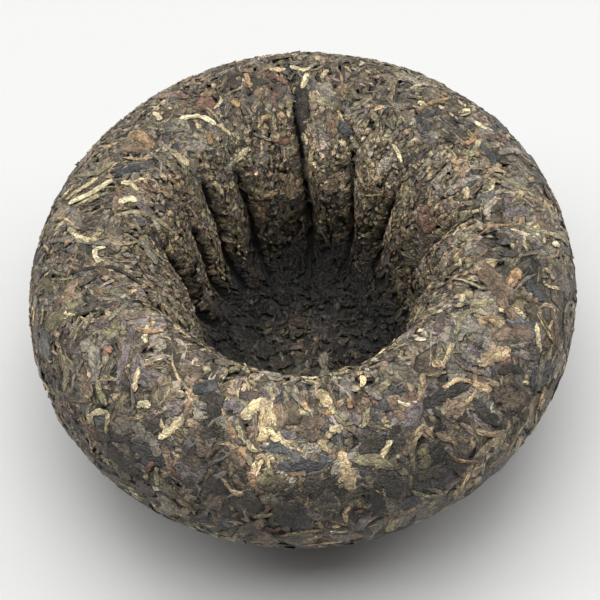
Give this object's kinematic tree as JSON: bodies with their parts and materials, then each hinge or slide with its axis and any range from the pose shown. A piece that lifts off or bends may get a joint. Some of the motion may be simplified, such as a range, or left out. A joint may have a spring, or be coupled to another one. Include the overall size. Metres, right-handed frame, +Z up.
{
  "type": "pressed tea nest",
  "caption": "Pu-erh tuocha: whole dark tea leaves steamed and pressed into a round nest with a domed base, a thick rounded rim and a deep creased hollow, hollow side up.",
  "frame": {"origin": "middle of the nest seen from above, at the level of the flat spot that it rests on", "axes": "+Z up out of the hollow, -Y towards the viewer of the picture, +X to the viewer's right"},
  "size_m": [0.0832, 0.0828, 0.0409],
  "materials": {
    "tea_leaf": "matt dry leaf, dark grey-brown with tan tips"
  },
  "bodies": {
    "root": {"tuocha": "tea_leaf"}
  },
  "joints": []
}
